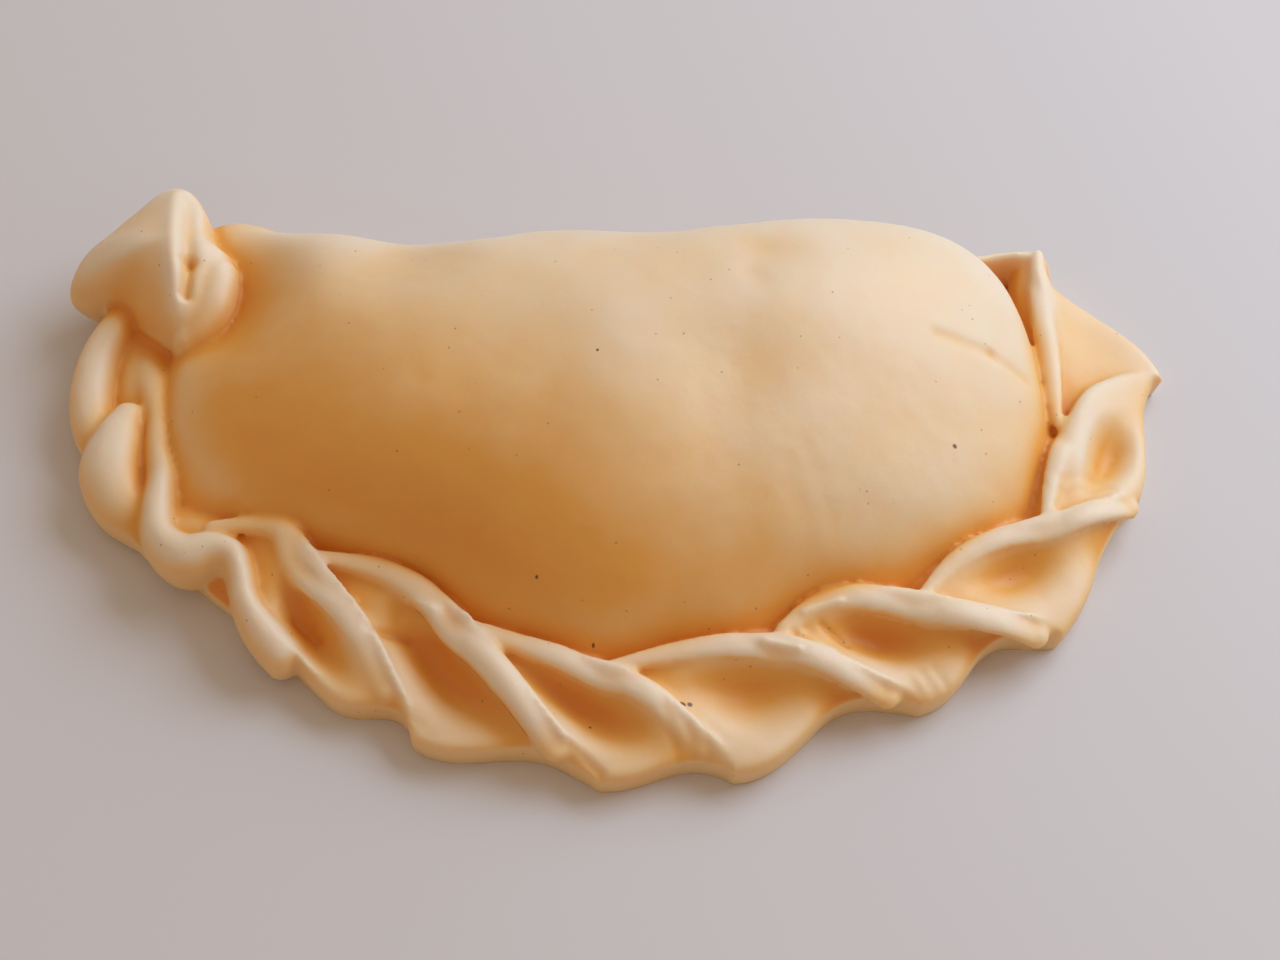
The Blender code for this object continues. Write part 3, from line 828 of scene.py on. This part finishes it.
def select_only(*targets):
    """Select these objects alone, with the first one active."""
    bpy.ops.object.select_all(action="DESELECT")
    for target in targets:
        target.select_set(True)
    bpy.context.view_layer.objects.active = targets[0]


def apply_modifier(target, modifier):
    """Apply one modifier of an object."""
    select_only(target)
    bpy.ops.object.modifier_apply(modifier=modifier.name)


def keep_largest_body(target):
    """Delete all but the largest loose body of a mesh."""
    select_only(target)
    bpy.ops.object.mode_set(mode="EDIT")
    bpy.ops.mesh.select_all(action="SELECT")
    bpy.ops.mesh.separate(type="LOOSE")
    bpy.ops.object.mode_set(mode="OBJECT")
    bodies = sorted(bpy.context.selected_objects, key=lambda body: len(body.data.vertices))
    kept = bodies[-1]
    for body in bodies[:-1]:
        bpy.data.objects.remove(body)
    return kept


def add_lumps(target, name, size, height):
    """Raise and lower the skin in soft lumps of a size."""
    texture = bpy.data.textures.new(name, "CLOUDS")
    texture.noise_scale = size
    texture.noise_depth = 2
    lumps = target.modifiers.new(name, "DISPLACE")
    lumps.texture = texture
    lumps.texture_coords = "LOCAL"
    lumps.strength = height
    lumps.mid_level = 0.5
    apply_modifier(target, lumps)


def mark_painted_shade(mesh):
    """Store how much lower each point lies than the dough round it, as painted shade that turns to
    painted highlight where it is raised, with the painted side light added: 0.5 where it is even.
    """
    places = mesh_values(mesh.vertices, "co", 3) / MM
    low = places[:, :2].min(axis=0) - PAINTED_SHADE_MARGIN
    spots = (places[:, :2] - low) / PAINTED_SHADE_CELL
    cells = spots.astype(int)
    parts = spots - cells
    size = cells.max(axis=0) + int(PAINTED_SHADE_MARGIN / PAINTED_SHADE_CELL)
    tops = np.zeros(size)
    nearest = (spots + 0.5).astype(int)
    np.maximum.at(tops, (nearest[:, 0], nearest[:, 1]), places[:, 2])
    for _ in range(PAINTED_SHADE_FILLS):
        beside = [np.roll(tops, move, axis) for move in (-1, 1) for axis in (0, 1)]
        found = sum(side > 0.0 for side in beside)
        tops = np.where(tops > 0.0, tops, sum(beside) / np.maximum(found, 1))
    # Painted shade: a place lower than the dough round it gets a deeper tone, and a raised place gets
    # a paler one, a painted highlight.
    painted_shade_tone = np.zeros(len(places))
    for reach, weight in PAINTED_SHADE_REACHES:
        away = np.arange(-3 * reach, 3 * reach + PAINTED_SHADE_CELL, PAINTED_SHADE_CELL) / reach
        weights = swell(away)
        weights /= weights.sum()
        around = np.apply_along_axis(np.convolve, 0, tops, weights, "same")
        around = np.apply_along_axis(np.convolve, 1, around, weights, "same")
        for across in (0, 1):
            for up in (0, 1):
                share = np.abs(1 - across - parts[:, 0]) * np.abs(1 - up - parts[:, 1])
                cell = (cells[:, 0] + across, cells[:, 1] + up)
                painted_shade_tone += weight * share * (around[cell] - places[:, 2])
    # Painted side light: the pouch's front and left get a deeper tone, and its back a paler one.
    painted_side_tones = np.interp(places[:, :2] @ PAINTED_SIDE_LIGHT_WAY, PAINTED_SIDE_LIGHT_SPAN, PAINTED_SIDE_LIGHT_TONES)
    # Painted light: the rope and the knot, away from the pouch, get a paler tone.
    off_knot = np.linalg.norm(places[:, :2] + PLAN_MIDDLE - KNOT_FACE, axis=1)
    pouch = np.interp(places[:, 2], PAINTED_SIDE_LIGHT_HEIGHTS, (0.0, 1.0))
    pouch *= np.interp(off_knot, KNOT_PAINTED_LIGHT, (0.0, 1.0))
    painted_shade_tone += PAINTED_LIGHT_TONE + (painted_side_tones - PAINTED_LIGHT_TONE) * pouch
    upright = mesh_values(mesh.vertices, "normal", 3)[:, 2]
    painted_shade_tone *= np.interp(upright, PAINTED_SHADE_UPRIGHT, (0.0, 1.0))
    attribute = mesh.attributes.new("painted_shade", "FLOAT", "POINT")
    attribute.data.foreach_set("value", np.clip(0.5 + painted_shade_tone, 0.0, 1.0).astype(np.float32))


def knot_rings():
    """Rings of the knot, from its top out to its edge and in again underneath."""
    count = len(KNOT_EDGE)
    closed = [*KNOT_EDGE[-1:], *KNOT_EDGE, *KNOT_EDGE[:2]]
    edge = [smooth_run(closed, 1.0 + count * column / KNOT_COLUMNS) for column in range(KNOT_COLUMNS)]
    rings = []
    for row in range(1, KNOT_ROWS + 1):
        share = math.sin(0.5 * math.pi * row / KNOT_ROWS)
        ring = []
        for x, y, rim in edge:
            out_x, out_y = x - KNOT_MIDDLE[0], y - KNOT_MIDDLE[1]
            height = rim + (KNOT_TOP - rim) * (1.0 - share ** KNOT_PROFILE)
            inside = (1.0 - share) * math.hypot(out_x, out_y)
            height -= rounding(inside, KNOT_EDGE_ROUND, KNOT_EDGE_DROP)
            ring.append((KNOT_MIDDLE[0] + out_x * share, KNOT_MIDDLE[1] + out_y * share, height))
        rings.append(ring)
    for inset, drop in KNOT_UNDER:
        ring = []
        for x, y, rim in edge:
            out_x, out_y = x - KNOT_MIDDLE[0], y - KNOT_MIDDLE[1]
            share = 1.0 - inset / math.hypot(out_x, out_y)
            height = max(rim - KNOT_EDGE_DROP - drop, -FLOOR_DEPTH)
            ring.append((KNOT_MIDDLE[0] + out_x * share, KNOT_MIDDLE[1] + out_y * share, height))
        rings.append(ring)
    return rings


def mesh_values(items, name, width):
    """A property of all of a mesh's points or edges, as rows of numbers."""
    values = np.empty(len(items) * width, dtype=np.int64 if name == "vertices" else np.float64)
    items.foreach_get(name, values)
    return values.reshape(-1, width)


def add_creases(mesh):
    """Work the creases and ridges into the faces of the skin that look upwards."""
    places = mesh_values(mesh.vertices, "co", 3)
    upward = np.clip(mesh_values(mesh.vertices, "normal", 3)[:, 2] * 2.0, 0.0, 1.0)
    for from_x, from_y, to_x, to_y, half_width, height in CREASES:
        start = np.array((from_x, from_y))
        run = np.array((to_x, to_y)) - start
        part = np.clip((places[:, :2] - start) @ run / (run @ run), 0.0, 1.0)
        away = np.linalg.norm(places[:, :2] - start - part[:, None] * run, axis=1)
        places[:, 2] += height * swell(away / half_width) * upward
    mesh.vertices.foreach_set("co", places.ravel())
    mesh.update()


class PASTRY_OT_pouch(bpy.types.Operator):
    """Model the filled pouch: rings from its top down to its girth, and in again underneath"""

    bl_idname = "pastry.pouch"
    bl_label = "Filled pouch"

    def execute(self, context):
        sizes = context.scene.pastry_sizes
        rim = rim_reaches(sizes)
        angles = [2.0 * math.pi * column / POUCH_COLUMNS for column in range(POUCH_COLUMNS)]
        outline = [pouch_reach(angle, rim) for angle in angles]
        top = sizes.pouch_height / MM
        rows = range(1, POUCH_ROWS + POUCH_UNDER_ROWS + 1)
        loft("pouch", [pouch_ring(row, angles, outline, top) for row in rows])
        return {"FINISHED"}


class PASTRY_OT_rope(bpy.types.Operator):
    """Model the rope's folds, each from its crest to where it is tucked under the next crest"""

    bl_idname = "pastry.rope"
    bl_label = "Crimped rope"

    def execute(self, context):
        sizes = context.scene.pastry_sizes
        shares = [(column / FOLD_COLUMNS) ** FOLD_CROWDING for column in range(FOLD_COLUMNS + 1)]
        steps = [TUCK_UNDER * share for share in shares]
        outline = list(SHEET_BACK)
        for index in range(len(FOLDS) - 1):
            loft(f"fold_{index}", [rope_section(index, step, sizes) for step in steps])
            for step in SHEET_STEPS:
                degrees, radius, _ = rope_top(index, step, 1.0, sizes)
                outline.append(to_plan(degrees, radius - SHEET_INSET))
        loft("sheet", [[(x, y, z) for x, y in outline] for z in (-FLOOR_DEPTH, SHEET_TOP)])
        for name, run in EDGE_STRAPS.items():
            make_strap(name, run)
        for index in range(len(ROLL_HALF_WIDTHS)):
            make_strap(f"roll_{index}", roll_run(index, sizes))
        return {"FINISHED"}


class PASTRY_OT_knot(bpy.types.Operator):
    """Model the knot at the rope's end"""

    bl_idname = "pastry.knot"
    bl_label = "Tucked knot"

    def execute(self, context):
        loft("knot", knot_rings())
        make_strap("curl", CURL)
        return {"FINISHED"}


class PASTRY_OT_skin(bpy.types.Operator):
    """Fuse the pieces into one skin of dough, with its lumps and pits, flat underneath"""

    bl_idname = "pastry.skin"
    bl_label = "Fuse the dough"

    def execute(self, context):
        sizes = context.scene.pastry_sizes
        names = ["pouch", "sheet", "knot", "curl", *EDGE_STRAPS]
        names += [f"fold_{index}" for index in range(len(FOLDS) - 1)]
        names += [f"roll_{index}" for index in range(len(ROLL_HALF_WIDTHS))]
        select_only(*[bpy.data.objects[name] for name in names])
        bpy.ops.object.join()
        skin = context.view_layer.objects.active
        fuse = skin.modifiers.new("fuse", "REMESH")
        fuse.mode = "VOXEL"
        fuse.voxel_size = sizes.grid / MM
        apply_modifier(skin, fuse)
        smooth = skin.modifiers.new("soften", "SMOOTH")
        smooth.iterations = sizes.smoothing
        apply_modifier(skin, smooth)
        add_creases(skin.data)
        add_lumps(skin, "lumps", LUMP_SIZE, sizes.lumps / MM)
        add_lumps(skin, "pits", PIT_SIZE, sizes.pits / MM)
        lighten = skin.modifiers.new("lighten", "DECIMATE")
        lighten.ratio = min(1.0, sizes.triangles / (2.0 * len(skin.data.polygons)))
        apply_modifier(skin, lighten)
        skin = keep_largest_body(skin)
        select_only(skin)
        bpy.ops.object.mode_set(mode="EDIT")
        bpy.ops.mesh.select_all(action="SELECT")
        bpy.ops.mesh.bisect(
            plane_co=(0.0, 0.0, 0.0), plane_no=(0.0, 0.0, -1.0), use_fill=True, clear_outer=True
        )
        bpy.ops.mesh.select_all(action="SELECT")
        bpy.ops.mesh.quads_convert_to_tris()
        bpy.ops.object.mode_set(mode="OBJECT")
        skin.name = skin.data.name = PIECE
        skin.location = (-PLAN_MIDDLE[0] * MM, -PLAN_MIDDLE[1] * MM, 0.0)
        skin.scale = (MM, MM, MM)
        bpy.ops.object.transform_apply(location=True, rotation=False, scale=True)
        bpy.ops.object.shade_smooth_by_angle(angle=math.radians(SMOOTH_ANGLE))
        mark_painted_shade(skin.data)
        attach(skin, "root")
        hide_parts(NODE)
        return {"FINISHED"}


def add_node(tree, kind, place, **values):
    """A shader node at a place, with its settings and inputs given by name."""
    node = tree.nodes.new(kind)
    node.location = place
    for name, value in values.items():
        if name in node.inputs:
            node.inputs[name].default_value = value
        else:
            setattr(node, name, value)
    return node


def add_fade(tree, place, near, far, strength):
    """A node that gives a strength up to a near distance and nothing past a far one."""
    limits = {"From Min": near, "From Max": far, "To Min": strength, "To Max": 0.0}
    return add_node(tree, "ShaderNodeMapRange", place, **limits)


def add_specks(tree, place):
    """How far each point is bran: the fine specks all over and those that stand out."""
    link = tree.links.new
    fine = add_node(tree, "ShaderNodeTexVoronoi", (-1100, 700), Scale=FINE_SPECK_SCALE)
    link(place, fine.inputs["Vector"])
    reach = FINE_SPECK * MM * FINE_SPECK_SCALE
    fade = add_fade(tree, (-900, 700), FINE_SPECK_CORE * reach, reach, FINE_SPECK_STRENGTH)
    link(fine.outputs["Distance"], fade.inputs["Value"])
    specks = fade.outputs["Result"]
    for row, (x, y, radius) in enumerate(SPECKS):
        high = 1000 + 200 * row
        flat = add_node(tree, "ShaderNodeVectorMath", (-1100, high), operation="MULTIPLY")
        flat.inputs[1].default_value = (1.0, 1.0, 0.0)
        link(place, flat.inputs[0])
        away = add_node(tree, "ShaderNodeVectorMath", (-900, high), operation="DISTANCE")
        away.inputs[1].default_value = (x * MM, y * MM, 0.0)
        link(flat.outputs["Vector"], away.inputs[0])
        spot = add_fade(tree, (-700, high), SPECK_CORE * radius * MM, radius * MM, 1.0)
        link(away.outputs["Value"], spot.inputs["Value"])
        either = add_node(tree, "ShaderNodeMath", (-500, high), operation="MAXIMUM")
        link(specks, either.inputs[0])
        link(spot.outputs["Result"], either.inputs[1])
        specks = either.outputs["Value"]
    return specks


class PASTRY_OT_dough(bpy.types.Operator):
    """Give the pastry its raw dough: painted highlight on the raised places, painted shade in the
    hollows, with bran specks
    """

    bl_idname = "pastry.dough"
    bl_label = "Raw dough"

    def execute(self, context):
        finish = context.scene.pastry_finish
        dough = bpy.data.materials.new("raw_dough")
        dough.use_nodes = True
        tree = dough.node_tree
        link = tree.links.new
        shader = tree.nodes["Principled BSDF"]
        place = add_node(tree, "ShaderNodeTexCoord", (-1400, 0))
        # The painted shade and painted highlight stored on the skin.
        painted_shade_tone = add_node(tree, "ShaderNodeAttribute", (-1400, -300), attribute_name="painted_shade")

        clouds = add_node(tree, "ShaderNodeTexNoise", (-1100, 200), Scale=PATCH_SCALE, Detail=4.0)
        link(place.outputs["Object"], clouds.inputs["Vector"])
        patches = add_node(tree, "ShaderNodeMapRange", (-900, 200))
        patches.inputs["To Min"].default_value = -finish.patches
        patches.inputs["To Max"].default_value = finish.patches
        link(clouds.outputs["Fac"], patches.inputs["Value"])
        tone = add_node(tree, "ShaderNodeMath", (-700, 0), operation="ADD")
        link(patches.outputs["Result"], tone.inputs[0])
        link(painted_shade_tone.outputs["Fac"], tone.inputs[1])
        # The ramp paints light and shade: painted highlight at the low tones, the dough's own colour
        # where even, and painted shade at the deep ones.
        ramp = add_node(tree, "ShaderNodeValToRGB", (-500, 0))
        stops = ramp.color_ramp.elements
        stops[0].position, stops[0].color = PAINTED_HIGHLIGHT_AT, finish.painted_highlight
        stops[1].position, stops[1].color = PAINTED_SHADE_AT, finish.painted_shade
        stops.new(DOUGH_AT).color = finish.dough
        stops.new(PAINTED_HALF_SHADE_AT).color = finish.painted_half_shade
        link(tone.outputs["Value"], ramp.inputs["Fac"])

        specks = add_specks(tree, place.outputs["Object"])
        colour = add_node(tree, "ShaderNodeMix", (-200, 200), data_type="RGBA")
        link(specks, colour.inputs[0])
        link(ramp.outputs["Color"], colour.inputs[6])
        colour.inputs[7].default_value = finish.speck
        link(colour.outputs[2], shader.inputs["Base Color"])

        grain = add_node(tree, "ShaderNodeTexNoise", (-700, -450), Scale=GRAIN_SCALE, Detail=4.0)
        link(place.outputs["Object"], grain.inputs["Vector"])
        bump = add_node(tree, "ShaderNodeBump", (-300, -450), Strength=GRAIN_STRENGTH)
        bump.inputs["Distance"].default_value = GRAIN_HEIGHT
        link(grain.outputs["Fac"], bump.inputs["Height"])
        link(bump.outputs["Normal"], shader.inputs["Normal"])

        shader.inputs["Roughness"].default_value = finish.roughness
        shader.inputs["Specular IOR Level"].default_value = GLOSS
        shader.inputs["Subsurface Weight"].default_value = SCATTER
        shader.inputs["Subsurface Radius"].default_value = SCATTER_COLOURS
        shader.inputs["Subsurface Scale"].default_value = SCATTER_REACH
        bpy.data.objects[PIECE].data.materials.clear()
        bpy.data.objects[PIECE].data.materials.append(dough)
        return {"FINISHED"}


class PASTRY_OT_studio(bpy.types.Operator):
    """Set up a plain pale floor, soft light from the right and behind, and the camera"""

    bl_idname = "pastry.studio"
    bl_label = "Plain studio"

    def execute(self, context):
        scene = context.scene
        studio = scene.pastry_studio
        bpy.ops.mesh.primitive_plane_add(size=FLOOR_SIZE, location=(0.0, 0.0, 0.0))
        floor = context.active_object
        floor.name = "floor"
        pale = bpy.data.materials.new("pale_floor")
        pale.use_nodes = True
        shader = pale.node_tree.nodes["Principled BSDF"]
        shader.inputs["Base Color"].default_value = studio.floor
        shader.inputs["Roughness"].default_value = FLOOR_ROUGHNESS
        floor.data.materials.append(pale)

        world = bpy.data.worlds.new("room")
        world.use_nodes = True
        room = world.node_tree.nodes["Background"]
        room.inputs["Color"].default_value = ROOM_COLOUR
        room.inputs["Strength"].default_value = studio.room
        scene.world = world

        bpy.ops.object.light_add(type="AREA", location=WINDOW_PLACE)
        window = context.active_object
        window.name = "window"
        window.data.shape = "RECTANGLE"
        window.data.size, window.data.size_y = WINDOW_SIZE
        window.data.energy = studio.window
        window.data.color = WINDOW_COLOUR
        window.rotation_euler = (-window.location).to_track_quat("-Z", "Y").to_euler()

        aim = Vector((-PLAN_MIDDLE[0] * MM, -PLAN_MIDDLE[1] * MM, 0.0))
        away = Vector((0.0, -math.cos(studio.elevation), math.sin(studio.elevation)))
        bpy.ops.object.camera_add(location=aim + away * studio.distance)
        camera = context.active_object
        camera.rotation_euler = (-away).to_track_quat("-Z", "Y").to_euler()
        camera.data.sensor_fit = "HORIZONTAL"
        camera.data.angle = studio.view_angle
        camera.data.clip_start = 0.01
        scene.camera = camera
        scene.view_settings.view_transform = "Standard"
        return {"FINISHED"}


class PASTRY_PT_panel(bpy.types.Panel):
    """The pastry's steps and settings"""

    bl_label = "Half-moon pastry"
    bl_idname = "PASTRY_PT_panel"
    bl_space_type = "VIEW_3D"
    bl_region_type = "UI"
    bl_category = "Pastry"

    def draw(self, context):
        for operator in OPERATORS:
            self.layout.operator(operator.bl_idname)
        for group in (
            context.scene.pastry_sizes,
            context.scene.pastry_finish,
            context.scene.pastry_studio,
        ):
            box = self.layout.box()
            for name in group.__annotations__:
                box.prop(group, name)


OPERATORS = (
    PASTRY_OT_pouch,
    PASTRY_OT_rope,
    PASTRY_OT_knot,
    PASTRY_OT_skin,
    PASTRY_OT_dough,
    PASTRY_OT_studio,
)
CLASSES = (PastrySizes, PastryFinish, StudioSettings, *OPERATORS, PASTRY_PT_panel)


def register():
    """Add the classes and the settings."""
    for cls in CLASSES:
        bpy.utils.register_class(cls)
    bpy.types.Scene.pastry_sizes = PointerProperty(type=PastrySizes)
    bpy.types.Scene.pastry_finish = PointerProperty(type=PastryFinish)
    bpy.types.Scene.pastry_studio = PointerProperty(type=StudioSettings)


def unregister():
    """Remove the settings and the classes."""
    del bpy.types.Scene.pastry_studio
    del bpy.types.Scene.pastry_finish
    del bpy.types.Scene.pastry_sizes
    for cls in reversed(CLASSES):
        bpy.utils.unregister_class(cls)


def main():
    """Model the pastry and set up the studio."""
    register()
    bpy.ops.pastry.pouch()
    bpy.ops.pastry.rope()
    bpy.ops.pastry.knot()
    bpy.ops.pastry.skin()
    bpy.ops.pastry.dough()
    bpy.ops.pastry.studio()


if __name__ == "__main__":
    main()
